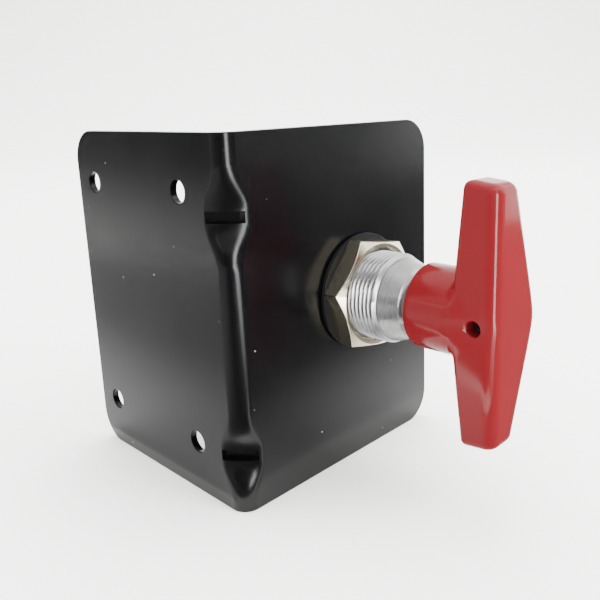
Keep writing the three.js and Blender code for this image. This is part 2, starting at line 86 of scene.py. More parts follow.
def build(name, verts, faces, matrix=AXIS_FRAME, smooth=35):
    """An object from points in millimetres, smooth except where faces meet at a sharp angle."""
    mesh = bpy.data.meshes.new(name)
    mesh.from_pydata([tuple(v) for v in verts], [], faces)
    mesh.transform(matrix)
    piece = bpy.data.objects.new(name, mesh)
    bpy.context.scene.collection.objects.link(piece)
    tidy(piece, smooth)
    return piece


def tidy(piece, smooth=35):
    """Merges doubled points, points the faces outwards and sets which edges look sharp."""
    mesh = piece.data
    bm = bmesh.new()
    bm.from_mesh(mesh)
    bmesh.ops.remove_doubles(bm, verts=bm.verts, dist=MERGE)
    bmesh.ops.dissolve_degenerate(bm, edges=bm.edges, dist=MERGE)
    bmesh.ops.recalc_face_normals(bm, faces=bm.faces)
    limit = math.radians(smooth)
    for face in bm.faces:
        face.smooth = True
    for edge in bm.edges:
        edge.smooth = len(edge.link_faces) != 2 or edge.calc_face_angle(0) < limit
    bm.to_mesh(mesh)
    bm.free()


def grid_faces(rows, columns, wrap=False, start=0):
    """Quads over rows x columns of points, the last column joined to the first if wrap."""
    faces = []
    for row in range(rows - 1):
        for column in range(columns if wrap else columns - 1):
            a = start + row * columns + column
            b = start + row * columns + (column + 1) % columns
            faces.append((a, b, b + columns, a + columns))
    return faces


def looped_faces(rows, columns):
    """Quads over wrapped rows of points, the last row joined to the first."""
    faces = grid_faces(rows, columns, wrap=True)
    last = (rows - 1) * columns
    for k in range(columns):
        faces.append((last + k, last + (k + 1) % columns, (k + 1) % columns, k))
    return faces


def capped_faces(rows, columns):
    """Quads over wrapped rows of points, the first and last row each closed by one face."""
    caps = [tuple(range(columns)), tuple(range((rows - 1) * columns, rows * columns))]
    return grid_faces(rows, columns, wrap=True) + caps


def filleted(corners, steps=5):
    """A closed outline from (u, v, radius) corners, each corner rounded to its radius."""
    outline = []
    for i, (u, v, radius) in enumerate(corners):
        here = Vector((u, v))
        before = Vector(corners[i - 1][:2]) - here
        after = Vector(corners[(i + 1) % len(corners)][:2]) - here
        if radius <= 0:
            outline.append(here)
            continue
        before.normalize()
        after.normalize()
        half = before.angle(after) / 2
        reach = radius / math.tan(half)
        centre = here + (before + after).normalized() * (radius / math.sin(half))
        first = here + before * reach - centre
        last = here + after * reach - centre
        sweep = first.angle_signed(last)
        for k in range(steps + 1):
            outline.append(centre + Matrix.Rotation(-sweep * k / steps, 2) @ first)
    return outline


def divided(outline, every):
    """Splits the stretches of an outline that run along the axis into short rows."""
    rows = []
    for here, after in zip(outline, outline[1:] + outline[:1]):
        count = max(1, round(abs(after.y - here.y) / every)) if abs(after.x - here.x) < 0.01 else 1
        rows += [here.lerp(after, k / count) for k in range(count)]
    return rows


def lathe(name, corners, sides=96, matrix=AXIS_FRAME, at=(0, 0), smooth=35, steps=5,
          every=None, shape=None):
    """A solid turned about the axis through at, from closed (radius, y, fillet) corners.

    shape(radius, y, angle) may move each point to another (radius, y).
    """
    outline = filleted(corners, steps)
    if every:
        outline = divided(outline, every)
    verts = []
    for radius, y in outline:
        for k in range(sides):
            angle = 2 * math.pi * k / sides
            reach, along = shape(radius, y, angle) if shape else (radius, y)
            verts.append((at[0] + reach * math.cos(angle), along, at[1] + reach * math.sin(angle)))
    return build(name, verts, looped_faces(len(outline), sides), matrix, smooth)


def round_cutter(profile, centre, along, matrix, sides):
    """A cutter turned about a line along x or y through centre, from (radius, depth) points."""
    verts = []
    for radius, depth in profile:
        for k in range(sides):
            angle = 2 * math.pi * k / sides
            a, b = radius * math.cos(angle), radius * math.sin(angle)
            offset = (depth, a, b) if along == "X" else (a, depth, b)
            verts.append(tuple(c + o for c, o in zip(centre, offset)))
    return build("cutter", verts, capped_faces(len(profile), sides), matrix)


def modify(piece, kind, **settings):
    """Adds a modifier with these settings and applies it."""
    modifier = piece.modifiers.new(kind.title(), kind)
    for key, value in settings.items():
        setattr(modifier, key, value)
    graph = bpy.context.evaluated_depsgraph_get()
    mesh = bpy.data.meshes.new_from_object(piece.evaluated_get(graph))
    piece.modifiers.clear()
    old, piece.data = piece.data, mesh
    bpy.data.meshes.remove(old)


def carve(piece, *tools, operation="DIFFERENCE", smooth=35):
    """Cuts the tools out of the piece, or joins them to it, and removes them."""
    for tool in tools:
        modify(piece, "BOOLEAN", operation=operation, object=tool, solver="EXACT")
        bpy.data.objects.remove(tool)
    tidy(piece, smooth)


def even_shading(piece):
    """Keeps large flat faces flat where small rounded edges meet them."""
    modify(piece, "WEIGHTED_NORMAL", mode="FACE_AREA", weight=80, keep_sharp=True)


# ---------------- materials

class Nodes:
    """A material's node tree, with short calls to add nodes and join them."""

    def __init__(self, name):
        self.material = bpy.data.materials.new(name)
        self.material.use_nodes = True
        self.tree = self.material.node_tree
        self.shader = self.tree.nodes["Principled BSDF"]

    def add(self, kind, inputs=(), **settings):
        node = self.tree.nodes.new("ShaderNode" + kind)
        for key, value in settings.items():
            setattr(node, key, value)
        for key, value in dict(inputs).items():
            self.put(node.inputs[key], value)
        return node

    def put(self, socket, value):
        if isinstance(value, bpy.types.NodeSocket):
            self.tree.links.new(value, socket)
        else:
            socket.default_value = value

    def set(self, **values):
        for key, value in values.items():
            self.put(self.shader.inputs[key.replace("_", " ")], value)

    def place(self):
        return self.add("TexCoord").outputs["Object"]

    def noise(self, scale, detail=3.0, vector=None):
        inputs = {"Scale": scale, "Detail": detail, "Vector": vector or self.place()}
        return self.add("TexNoise", inputs).outputs["Fac"]

    def stretched(self, x, y, z):
        inputs = {"Vector": self.place(), "Scale": (x, y, z)}
        return self.add("Mapping", inputs).outputs["Vector"]

    def remap(self, value, low, high, to_low, to_high):
        inputs = {"Value": value, "From Min": low, "From Max": high,
                  "To Min": to_low, "To Max": to_high}
        return self.add("MapRange", inputs).outputs["Result"]

    def mix(self, factor, first, second):
        node = self.add("Mix", data_type="RGBA")
        colours = [socket for socket in node.inputs if socket.type == "RGBA"]
        self.put(node.inputs["Factor"], factor)
        self.put(colours[0], first)
        self.put(colours[1], second)
        return next(socket for socket in node.outputs if socket.type == "RGBA")

    def bump(self, height, strength, distance):
        inputs = {"Height": height, "Strength": strength, "Distance": distance}
        self.put(self.shader.inputs["Normal"], self.add("Bump", inputs).outputs["Normal"])


def rgb(r, g, b):
    return (r, g, b, 1.0)


def grey(tone):
    return rgb(tone, tone, tone)


def black_paint():
    """Semi-gloss powder coat: faint orange peel, dust specks and soft patches of dulled gloss."""
    m = Nodes("black_paint")
    cells = m.add("TexVoronoi", {"Vector": m.place(), "Scale": 170.0}).outputs["Distance"]
    specks = m.remap(cells, 0.045, 0.03, 0.0, 1.0)
    sparse = m.remap(m.noise(140.0), 0.56, 0.6, 0.0, 1.0)
    dust = m.add("Math", {0: specks, 1: sparse}, operation="MULTIPLY").outputs[0]
    paint = m.mix(m.noise(35.0), rgb(0.0011, 0.0012, 0.0015), rgb(0.0016, 0.0017, 0.0021))
    m.set(Base_Color=m.mix(dust, paint, rgb(0.35, 0.35, 0.34)))
    m.set(Roughness=m.remap(m.noise(60.0), 0.3, 0.7, 0.17, 0.24))
    m.shader.inputs["Specular IOR Level"].default_value = 0.27
    m.bump(m.noise(1400.0, 2.0), 0.05, 0.0003)
    return m.material


def nickel_plate():
    """Bright plating with a warm tone."""
    m = Nodes("nickel_plate")
    m.set(Base_Color=m.mix(m.noise(200.0), rgb(0.68, 0.62, 0.47), rgb(0.76, 0.70, 0.55)))
    m.set(Metallic=1.0, Roughness=m.remap(m.noise(700.0), 0.3, 0.7, 0.17, 0.23))
    return m.material


def turned_aluminium():
    """Bright turned metal with fine tool marks around the axis."""
    m = Nodes("turned_aluminium")
    marks = m.noise(30.0, 4.0, m.stretched(1.0, 260.0, 1.0))
    m.set(Base_Color=m.mix(marks, rgb(0.40, 0.40, 0.41), rgb(0.50, 0.50, 0.50)))
    m.set(Metallic=1.0, Roughness=m.remap(marks, 0.3, 0.7, 0.24, 0.36))
    m.bump(marks, 0.12, 0.0003)
    return m.material


def plated(name, low, high, roughness):
    """A plated or drawn metal fastener: slight tone and gloss changes, fine grain."""
    m = Nodes(name)
    m.set(Base_Color=m.mix(m.noise(250.0), low, high))
    m.set(Metallic=1.0)
    m.set(Roughness=m.remap(m.noise(600.0), 0.3, 0.7, roughness - 0.06, roughness + 0.08))
    m.bump(m.noise(1800.0, 2.0), 0.03, 0.0002)
    return m.material


def red_plastic():
    """Glossy moulded plastic with very slight waviness."""
    m = Nodes("red_plastic")
    m.set(Base_Color=m.mix(m.noise(40.0), rgb(0.115, 0.0065, 0.0085), rgb(0.13, 0.008, 0.0105)))
    m.set(Roughness=m.remap(m.noise(120.0), 0.3, 0.7, 0.07, 0.13))
    m.shader.inputs["Specular IOR Level"].default_value = 0.28
    m.bump(m.noise(90.0, 2.0), 0.05, 0.0006)
    return m.material


def moulded(name, low, high, roughness):
    """Fine-grained moulded plastic or rubber."""
    m = Nodes(name)
    m.set(Base_Color=m.mix(m.noise(60.0), low, high))
    m.set(Roughness=m.remap(m.noise(400.0), 0.3, 0.7, roughness - 0.05, roughness + 0.07))
    m.shader.inputs["Specular IOR Level"].default_value = 0.2
    m.bump(m.noise(2500.0, 2.0), 0.25, 0.0002)
    return m.material


def make_materials():
    return {
        "black_paint": black_paint(),
        "nickel_plate": nickel_plate(),
        "turned_aluminium": turned_aluminium(),
        "red_plastic": red_plastic(),
        "brass": plated("brass", rgb(0.60, 0.41, 0.17), rgb(0.68, 0.49, 0.22), 0.36),
        "steel": plated("steel", rgb(0.42, 0.43, 0.44), rgb(0.54, 0.55, 0.56), 0.36),
        "spring_steel": plated("spring_steel", rgb(0.10, 0.10, 0.11), rgb(0.17, 0.17, 0.18), 0.35),
        "copper": plated("copper", rgb(0.66, 0.29, 0.17), rgb(0.76, 0.37, 0.23), 0.34),
        "black_rubber": moulded("black_rubber", grey(0.0015), grey(0.0025), 0.6),
        "black_plastic": moulded("black_plastic", rgb(0.0025, 0.0025, 0.003),
                                 rgb(0.0045, 0.0045, 0.005), 0.46),
        "white_plastic": moulded("white_plastic", rgb(0.62, 0.60, 0.55), rgb(0.7, 0.68, 0.62), 0.42),
    }


MATERIALS = make_materials()
SLOT_OF_NODE = {part["node"]: part["material_slot"] for part in frame["record"]["subparts"]}
BODY_OF_NODE = {node: body for body, nodes in frame["record"]["behaviour"]["bodies"].items()
                for node in nodes}


def finish_piece(piece, node):
    """The piece takes a CAD node's place, body, material slot and finish."""
    piece.data.materials.clear()
    piece.data.materials.append(MATERIALS[SLOT_OF_NODE[node]])
    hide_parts(node)
    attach(piece, BODY_OF_NODE[node])


# ---------------- bracket

HEIGHT = node_size("bracket", 2)
WALL_LEG = node_size("bracket", 1)
SWITCH_LEG = node_size("bracket", 0)
SHEET = 2.2
EDGE = 0.28  # rounding of the sheet's cut edges
BEND = 5.0  # outer radius of the bend
LEG_CORNER = 10.0
HOLE_RADIUS = 3.3
HOLE_Y = (20.5, 66.5)
HOLE_Z = (16.0, 90.0)
PANEL_HOLE = 13.8
GUSSETS = (16.0, 84.0)  # heights of the two pressed slots
SLOT_HALF = 1.6
FLARE_HALF = 12.5  # how far above and below a slot the bend is pushed in
FLARE_REACH = (9.2, 8.4)  # and how far it then reaches along the wall leg and the switch leg
ROUND_HANDLE = 0.5523  # Bezier handle of a quarter circle
FLAT_HANDLE = 0.30  # and of the nearly flat section beside a slot
FLAT_HALF = 9.0  # how far above and below a slot the bend is flattened
SLOT_REACH = (8.7, 6.9)  # where a slot ends along the wall leg and the switch leg
SLOT_DEPTH = 1.6  # how deep its straight floor lies below its ends
SLOT_STEP = 0.01  # height over which the surface drops into a slot
SLOT_SPREAD = 0.7  # how far, in sheets, the inner face spreads beside a slot
BEND_STEPS = 24  # mesh steps across the bend
CORNER_STEPS = 14  # mesh rows in a leg's rounded corner
FLARE_STEPS = 26  # mesh rows on each side of a slot
MIDDLE_ROWS = range(30, 75, 5)  # heights of the mesh rows between the two slots
COLUMNS = BEND_STEPS + 3  # points across the bend, and one at each leg's free edge


def beside_slot(z, spread):
    """1 at the lips of a slot, fading smoothly to 0 a given way above and below it."""
    distance = min(abs(z - gusset) for gusset in GUSSETS) - SLOT_HALF
    return math.cos(math.pi / 2 * min(max(distance, 0) / spread, 1)) ** 2


def bend_section(z, in_slot):
    """Points and inward directions across the bend, wall leg to switch leg, at a height.

    The section is one Bezier curve, a near quarter circle except beside a slot.
    """
    wall, switch = (BEND + (flare - BEND) * beside_slot(z, FLARE_HALF) for flare in FLARE_REACH)
    handle = ROUND_HANDLE + (FLAT_HANDLE - ROUND_HANDLE) * beside_slot(z, FLAT_HALF)
    ends = [(0, wall), (0, wall * (1 - handle)), (switch * (1 - handle), 0), (switch, 0)]
    ends = [Vector(end) for end in ends]
    section = []
    for k in range(BEND_STEPS + 1):
        t = k / BEND_STEPS
        weights = ((1 - t) ** 3, 3 * t * (1 - t) ** 2, 3 * t * t * (1 - t), t ** 3)
        slopes = ((1 - t) ** 2, 2 * t * (1 - t), t * t)
        point = sum((w * e for w, e in zip(weights, ends)), Vector((0, 0)))
        slope = sum((s * (ends[i + 1] - ends[i]) for i, s in enumerate(slopes)), Vector((0, 0)))
        slope.normalize()
        section.append((point, Vector((-slope.y, slope.x))))
    if in_slot:
        sink_floor(section)
    return section


def sink_floor(section):
    """Drops the part of a section between a slot's ends onto a straight floor."""
    wall, switch = SLOT_REACH
    inside = [k for k, (point, inward) in enumerate(section) if point.y < wall and point.x < switch]
    first, last = inside[0], inside[-1]
    start = section[first - 1][0] + Vector((SLOT_DEPTH, 0))
    end = section[last + 1][0] + Vector((0, SLOT_DEPTH))
    for k in inside:
        share = (k - first) / (last - first)
        section[k] = (start.lerp(end, share), Vector((1 - share, share)).normalized())


def leg_end(length, z):
    """How far a leg reaches at a height, with its rounded free corners."""
    from_edge = min(z, HEIGHT - z)
    if from_edge >= LEG_CORNER:
        return length
    rise = LEG_CORNER - from_edge
    return length - LEG_CORNER + math.sqrt(max(LEG_CORNER ** 2 - rise ** 2, 0))


def in_a_slot(z):
    return any(abs(z - gusset) < SLOT_HALF + EDGE - SLOT_STEP for gusset in GUSSETS)


def bracket_rows():
    """Heights of the mesh rows, each with whether it lies on a slot's floor."""
    turns = [math.pi / 2 * k / CORNER_STEPS for k in range(1, CORNER_STEPS + 1)]
    corner = [LEG_CORNER * (1 - math.cos(turn)) for turn in turns]
    heights = set(corner) | {HEIGHT - z for z in corner} | set(MIDDLE_ROWS)
    for gusset in GUSSETS:
        for k in range(FLARE_STEPS + 1):
            distance = SLOT_HALF + EDGE + (FLARE_HALF - EDGE) * k / FLARE_STEPS
            heights |= {gusset - distance, gusset + distance}
    rows = [(z, False) for z in sorted(heights) if EDGE < z < HEIGHT - EDGE and not in_a_slot(z)]
    for gusset in GUSSETS:
        low, high = gusset - SLOT_HALF, gusset + SLOT_HALF
        rows += [(low, False), (low + SLOT_STEP, True), (high - SLOT_STEP, True), (high, False)]
    return [(EDGE, False)] + sorted(rows) + [(HEIGHT - EDGE, False)]


def bracket_skin(rows, depth, inset):
    """The sheet's surface at a depth below its outer face, as rows of points."""
    surface = []
    for z, in_slot in rows:
        height = z
        if depth > SHEET / 2 and EDGE < z < HEIGHT - EDGE:
            gusset = min(GUSSETS, key=lambda g: abs(g - z))
            near = max(0, 1 - abs(z - gusset) / (FLARE_HALF + SLOT_HALF))
            height = z + math.copysign(SLOT_SPREAD * SHEET * near, z - gusset)
        section = bend_section(z, in_slot)
        wall_end = leg_end(WALL_LEG, z) - inset
        switch_end = leg_end(SWITCH_LEG, z) - inset
        points = [(Vector((0, wall_end)), Vector((1, 0)))] + section
        points.append((Vector((switch_end, 0)), Vector((0, 1))))
        surface.append([(*(point + inward * depth), height) for point, inward in points])
    return surface


def edge_ring(rows):
    """The (row, column) places round the sheet's edge, once around."""
    bottom = [(0, k) for k in range(COLUMNS)]
    switch_side = [(j, COLUMNS - 1) for j in range(1, rows)]
    top = [(rows - 1, k) for k in range(COLUMNS - 2, -1, -1)]
    wall_side = [(j, 0) for j in range(rows - 2, 0, -1)]
    return bottom + switch_side + top + wall_side


def bracket_mesh():
    """Points and faces of the sheet: two skins joined by a rounded edge."""
    rows = bracket_rows()
    skins = bracket_skin(rows, 0.0, EDGE) + bracket_skin(rows, SHEET, EDGE)
    verts = [point for row in skins for point in row]
    count = len(rows) * COLUMNS
    faces = grid_faces(len(rows), COLUMNS) + grid_faces(len(rows), COLUMNS, start=count)
    ring = edge_ring(len(rows))
    loops = [[j * COLUMNS + k for j, k in ring]]
    soft = 0.3 * EDGE
    for depth, inset in ((soft, soft), (EDGE, 0.0), (SHEET - EDGE, 0.0), (SHEET - soft, soft)):
        edge_rows = [(inset, False)] + rows[1:-1] + [(HEIGHT - inset, False)]
        skin = bracket_skin(edge_rows, depth, inset)
        loops.append(list(range(len(verts), len(verts) + len(ring))))
        verts += [skin[j][k] for j, k in ring]
    loops.append([count + j * COLUMNS + k for j, k in ring])
    for near, far in zip(loops, loops[1:]):
        for i in range(len(ring)):
            n = (i + 1) % len(ring)
            faces.append((near[i], near[n], far[n], far[i]))
    return verts, faces


def sheet_hole(radius, centre, along):
    """A cutter for a round hole through the sheet with softened rims."""
    rim, soft, over = 0.25, 0.07, 0.5
    profile = [(radius + rim + over, -over), (radius + rim, 0.0), (radius + soft, soft),
               (radius, rim), (radius, SHEET - rim), (radius + soft, SHEET - soft),
               (radius + rim, SHEET), (radius + rim + over, SHEET + over)]
    return round_cutter(profile, centre, along, CORNER_FRAME, 64)


def make_bracket():
    """The folded sheet with its pressed gussets, four fixing holes and the panel hole."""
    verts, faces = bracket_mesh()
    bracket = build("bracket_plate", verts, faces, CORNER_FRAME, 40)
    holes = [sheet_hole(HOLE_RADIUS, (0, y, z), "X") for y in HOLE_Y for z in HOLE_Z]
    holes.append(sheet_hole(PANEL_HOLE, (AXIS_X, 0, AXIS_Z), "Y"))
    carve(bracket, *holes, smooth=40)
    even_shading(bracket)
    finish_piece(bracket, "bracket")


# ---------------- nuts, threads and washers

NUT_CORNER = 0.35  # rounding of a nut's six corners
NUT_FACE = 0.35  # how far inside its flats a nut's round end face stops
NUT_SOFT = 0.12  # softening where a flat meets an end
NUT_SLOPE = math.tan(math.radians(30))
NUT_LEAD = 1.0  # chamfer of a nut's bore
RING_BORE = 13.7  # bore of the rings on the barrel


def thread_depth(turn):
    """A thread's profile over one turn: 0 on the crest, 1 in the root, straight flanks."""
    turn %= 1.0
    crest, flank, root = 0.14, 0.31, 0.24  # shares of the pitch
    if turn < crest:
        return 0.0
    if turn < crest + flank:
        return (turn - crest) / flank
    if turn < crest + flank + root:
        return 1.0
    return (1 - turn) / (1 - crest - flank - root)


def thread(start, end, crest, pitch):
    """A lathe shape that cuts a helical thread between two places on the axis."""
    depth, fade = 0.54 * pitch, 0.8 * pitch  # fade is the length of each run-out

    def cut(radius, y, angle):
        if radius <= crest - depth or not start < y < end:
            return radius, y
        near_end = min((y - start) / fade, (end - y) / fade, 1.0)
        turn = (y - start) / pitch + angle / (2 * math.pi)
        return min(radius, crest - depth * near_end * thread_depth(turn)), y

    return cut


def hex_outline(across, turn, steps=9):
    """Points round a hexagon with slightly rounded corners, evenly spread along its flats."""
    corner = across / math.sqrt(3)
    corners = []
    for k in range(6):
        angle = turn + k * math.pi / 3
        corners.append((corner * math.cos(angle), corner * math.sin(angle), NUT_CORNER))
    rounded = filleted(corners, 4)
    outline = []
    for here, after in zip(rounded, rounded[1:] + rounded[:1]):
        outline.append(here)
        if (after - here).length > across / 4:
            outline += [here.lerp(after, k / steps) for k in range(1, steps)]
    return outline


def nut_end(radius, y, inward, face, chamfered):
    """Profile points where a nut's side, this far from the axis, meets the end at y."""
    if not chamfered:
        return [(radius, y + inward * NUT_SOFT), (radius - NUT_SOFT, y)]
    drop = (radius - face) * NUT_SLOPE
    return [(radius, y + inward * (drop + NUT_SOFT)),
            (radius - NUT_SOFT, y + inward * (drop - NUT_SOFT * NUT_SLOPE)), (face, y)]


def make_nut(name, node, across, bore, turn, chamfers=(True, True), at=(0, 0)):
    """A hexagon nut in a CAD node's place, with cone-chamfered corners and a chamfered bore."""
    y0, y1 = node_span(node, 1)
    face = across / 2 - NUT_FACE
    rings = []
    for point in hex_outline(across, turn):
        radius = point.length
        front = nut_end(radius, y0, 1, face, chamfers[0])
        back = nut_end(radius, y1, -1, face, chamfers[1])
        profile = [(bore, y0 + NUT_LEAD), (bore + NUT_LEAD, y0)] + front[::-1]
        profile += back + [(bore + NUT_LEAD, y1), (bore, y1 - NUT_LEAD)]
        rings.append([(point / radius * r, y) for r, y in profile])
    verts = []
    for k in range(len(rings[0])):
        verts += [(at[0] + ring[k][0].x, ring[k][1], at[1] + ring[k][0].y) for ring in rings]
    nut = build(name, verts, looped_faces(len(rings[0]), len(rings)), smooth=22)
    even_shading(nut)
    finish_piece(nut, node)


def make_washer(name, node, bore, edge, at=(0, 0)):
    """A flat ring in a CAD node's place, its edges rounded."""
    y0, y1 = node_span(node, 1)
    outer = node_size(node, 0) / 2
    corners = [(bore, y0, edge), (outer, y0, edge), (outer, y1, edge), (bore, y1, edge)]
    ring = lathe(name, corners, at=at, steps=3)
    even_shading(ring)
    finish_piece(ring, node)


# ---------------- barrel and clamping pieces

THREAD_RADIUS = 13.5
THREAD_PITCH = 1.5
THREAD_END = 2.5  # inside the panel's hole
CONE, CONE_RADIUS = -16.5, 12.7  # where the smooth cone starts, in front of the panel
CONE_STEP = 0.25  # the small relief between thread and cone
NOSE, NOSE_RADIUS = -22.7, 10.6  # where the cone ends and the collar starts
COLLAR_RADIUS = 9.7
FLANGE = 3.8  # front face of the flange behind the panel
NUT_ACROSS = 32.0  # across the panel nut's flats
NUT_TURN = math.radians(-9.1)


def make_barrel():
    """Collar, cone nose, thread with its run-outs, flange behind the panel, bush pockets."""
    front, rear = node_span("barrel", 1)
    flange = node_size("barrel", 0) / 2
    pocket, bore, bush = 8.15, 5.6, 7.0
    relief = CONE_RADIUS - CONE_STEP
    corners = [
        (pocket, front, 0.2), (COLLAR_RADIUS, front, 0.25), (COLLAR_RADIUS, NOSE - 0.9, 0.1),
        (NOSE_RADIUS, NOSE, 0.25), (CONE_RADIUS, CONE - 0.35, 0.15), (relief, CONE - 0.2, 0.05),
        (relief, CONE + 0.1, 0.05), (THREAD_RADIUS, CONE + 0.85, 0), (THREAD_RADIUS, FLANGE, 0),
        (flange, FLANGE, 0.4), (flange, rear, 0.4), (pocket, rear, 0.3), (pocket, rear - bush, 0),
        (bore, rear - bush, 0), (bore, NOSE + bush, 0), (pocket, NOSE + bush, 0),
    ]
    barrel = lathe("threaded_barrel", corners, 160, smooth=40, every=THREAD_PITCH / 9,
                   shape=thread(CONE + 0.1, THREAD_END, THREAD_RADIUS, THREAD_PITCH))
    finish_piece(barrel, "barrel")


def make_clamping_pieces():
    """The nut and the three rings that clamp the barrel to the bracket."""
    make_nut("panel_hex_nut", "panel_nut", NUT_ACROSS, THREAD_RADIUS + 0.1, NUT_TURN, (True, False))
    make_washer("nut_ring", "nut_washer", RING_BORE, 0.25)
    make_washer("front_seal", "front_gasket", RING_BORE, 0.35)
    make_washer("rear_seal", "rear_gasket", RING_BORE, 0.35)


# ---------------- T handle

BAR_FRONT = -node_span("t_handle", 1)[0]  # distances in front of the panel
BAR_BACK = 40.4
HUB_RIM = -node_span("t_handle", 1)[1]
TIP_FRONT = 50.6  # where the bar's front face meets its ends
PIN_DEPTH = 47.4  # where the cross pin lies
BAR_END = 36.4  # half the bar's length where its front face ends
BAR_HALF_WIDTH = 11.1
BAR_CROWN = 3.0  # how softly the two tapers meet in the middle of the bar
WIDTH_TAPER = 0.165  # how much narrower each side gets per millimetre up the bar
FRONT_TAPER = 0.09  # and how far the front face falls back
END_LEAN = 0.12  # how much the ends lean outwards towards the back
FRONT_EDGE, BACK_EDGE, END_EDGE = 3.4, 1.1, 2.4  # rounding of the bar's edges
HUB_RADIUS = node_size("t_handle", 0) / 2
HUB_NECK = 2.4  # how much thinner the hub gets inside the bar
HUB_END = BAR_BACK + 8  # where it ends inside the bar
HUB_FILLET = 2.0  # where the hub runs into the bar
PIN_HOLE = 2.1
BORE_END, BORE_RADIUS = 51.0, 5.1  # the spindle's blind hole


def rounded_meet(a, b, radius):
    """The solid inside both surfaces, from their distances, its edge rounded."""
    over = np.hypot(np.maximum(a + radius, 0), np.maximum(b + radius, 0))
    return np.minimum(-radius, np.maximum(a, b)) + over


def rounded_join(a, b, radius):
    """The solid inside either surface, its inner corner filled to a radius."""
    under = np.hypot(np.maximum(radius - a, 0), np.maximum(radius - b, 0))
    return np.maximum(radius, np.minimum(a, b)) - under


def handle_distance(p):
    """Distance from points to the handle's skin: a tapered bar with soft edges on a round hub."""
    x, y, z = np.abs(p[:, 0]), p[:, 1], np.abs(p[:, 2])
    along = np.sqrt(z * z + BAR_CROWN * BAR_CROWN) - BAR_CROWN
    side = (x - BAR_HALF_WIDTH + WIDTH_TAPER * along) * math.cos(WIDTH_TAPER)
    front = (-y - BAR_FRONT + FRONT_TAPER * along) * math.cos(FRONT_TAPER)
    bar = rounded_meet(side, front, FRONT_EDGE)
    bar = rounded_meet(bar, y + BAR_BACK, BACK_EDGE)
    bar = rounded_meet(bar, z - BAR_END - END_LEAN * (y + TIP_FRONT), END_EDGE)
    sink = np.clip((-y - BAR_BACK + 2) / 9, 0, 1)
    hub = np.hypot(x, z) - HUB_RADIUS + HUB_NECK * sink * sink * (3 - 2 * sink)
    hub = rounded_meet(hub, y + HUB_RIM, 0.9)
    hub = rounded_meet(hub, -HUB_END - y, 0.5)
    return rounded_join(bar, hub, HUB_FILLET)


def settle_on_skin(piece, distance, rounds=12):
    """Moves every point of a rough mesh straight onto the surface where distance is 0."""
    mesh = piece.data
    points = np.empty(len(mesh.vertices) * 3)
    mesh.vertices.foreach_get("co", points)
    points = points.reshape(-1, 3)
    step = 1e-3
    for _ in range(rounds):
        value = distance(points)
        slope = np.stack([(distance(points + step * unit) - value) / step
                          for unit in np.eye(3)], axis=1)
        slope /= np.maximum((slope * slope).sum(axis=1, keepdims=True), 0.05)
        points = points - slope * value[:, None]
    mesh.vertices.foreach_set("co", points.ravel())
    mesh.update()


def rough_handle():
    """A plain bar and hub, fused and evenly meshed, about where the handle's skin will be."""
    half, back, front = node_size("t_handle", 2) / 2, -BAR_BACK, -BAR_FRONT
    wide, thin = BAR_HALF_WIDTH, BAR_HALF_WIDTH - WIDTH_TAPER * half
    outline = [(-thin, -half), (thin, -half), (wide, 0), (thin, half), (-thin, half), (-wide, 0)]
    verts = [(x, y, z) for y in (back, front) for x, z in outline]
    handle = build("tee_handle", verts, capped_faces(2, 6), Matrix.Identity(4))
    corners = [(CORE, -HUB_RIM, 0), (HUB_RADIUS, -HUB_RIM, 0), (HUB_RADIUS, back - 3, 0),
               (CORE, back - 3, 0)]
    hub = lathe("hub", corners, matrix=Matrix.Identity(4))
    carve(handle, hub, operation="UNION")
    modify(handle, "REMESH", mode="VOXEL", voxel_size=0.5)
    return handle


def make_handle():
    """The rough handle settled onto its exact skin, with its blind bore and cross hole."""
    handle = rough_handle()
    settle_on_skin(handle, handle_distance)
    handle.data.transform(AXIS_FRAME)
    corners = [(CORE, -BORE_END, 0), (BORE_RADIUS, -BORE_END, 0), (BORE_RADIUS, -HUB_RIM - 0.4, 0),
               (BORE_RADIUS + 1.1, -HUB_RIM + 0.7, 0), (CORE, -HUB_RIM + 0.7, 0)]
    bore = lathe("bore", corners, 64)
    carve(handle, bore, pin_hole(-1), pin_hole(1), smooth=28)
    finish_piece(handle, "t_handle")


def pin_hole(side):
    """A cutter for one end of the cross hole, its rim softened."""
    wall = BAR_HALF_WIDTH
    profile = [(PIN_HOLE, 0.0), (PIN_HOLE, wall - 0.45), (PIN_HOLE + 0.08, wall - 0.22),
               (PIN_HOLE + 0.3, wall), (PIN_HOLE + 1.3, wall + 1.0)]
    profile = [(radius, side * depth) for radius, depth in profile]
    return round_cutter(profile, (0, -PIN_DEPTH, 0), "X", AXIS_FRAME, 48)


def make_handle_pin():
    """A slotted spring pin: a rolled tube with a narrow gap along it."""
    half = node_size("handle_pin", 0) / 2
    outer, inner, gap = 1.95, 1.15, math.radians(16)
    bevel, shrunk, sides = 0.25, 0.15, 40
    section = []
    for radius, order in ((outer, range(sides + 1)), (inner, range(sides, -1, -1))):
        for k in order:
            angle = math.pi / 2 + gap / 2 + (2 * math.pi - gap) * k / sides
            section.append((radius * math.cos(angle), radius * math.sin(angle)))
    verts = []
    for x, shrink in ((-half, shrunk), (-half + bevel, 0), (half - bevel, 0), (half, shrunk)):
        for a, b in section:
            length = math.hypot(a, b)
            pull = shrink if length > (outer + inner) / 2 else -shrink * 0.5
            verts.append((x, -PIN_DEPTH + a * (1 - pull / length), b * (1 - pull / length)))
    count = len(section)
    faces = grid_faces(4, count, wrap=True)
    for start in (0, 3 * count):
        for k in range(sides):
            faces.append((start + k, start + k + 1, start + count - 2 - k, start + count - 1 - k))
    finish_piece(build("spring_pin", verts, faces, smooth=40), "handle_pin")


# ---------------- spindle and circlip

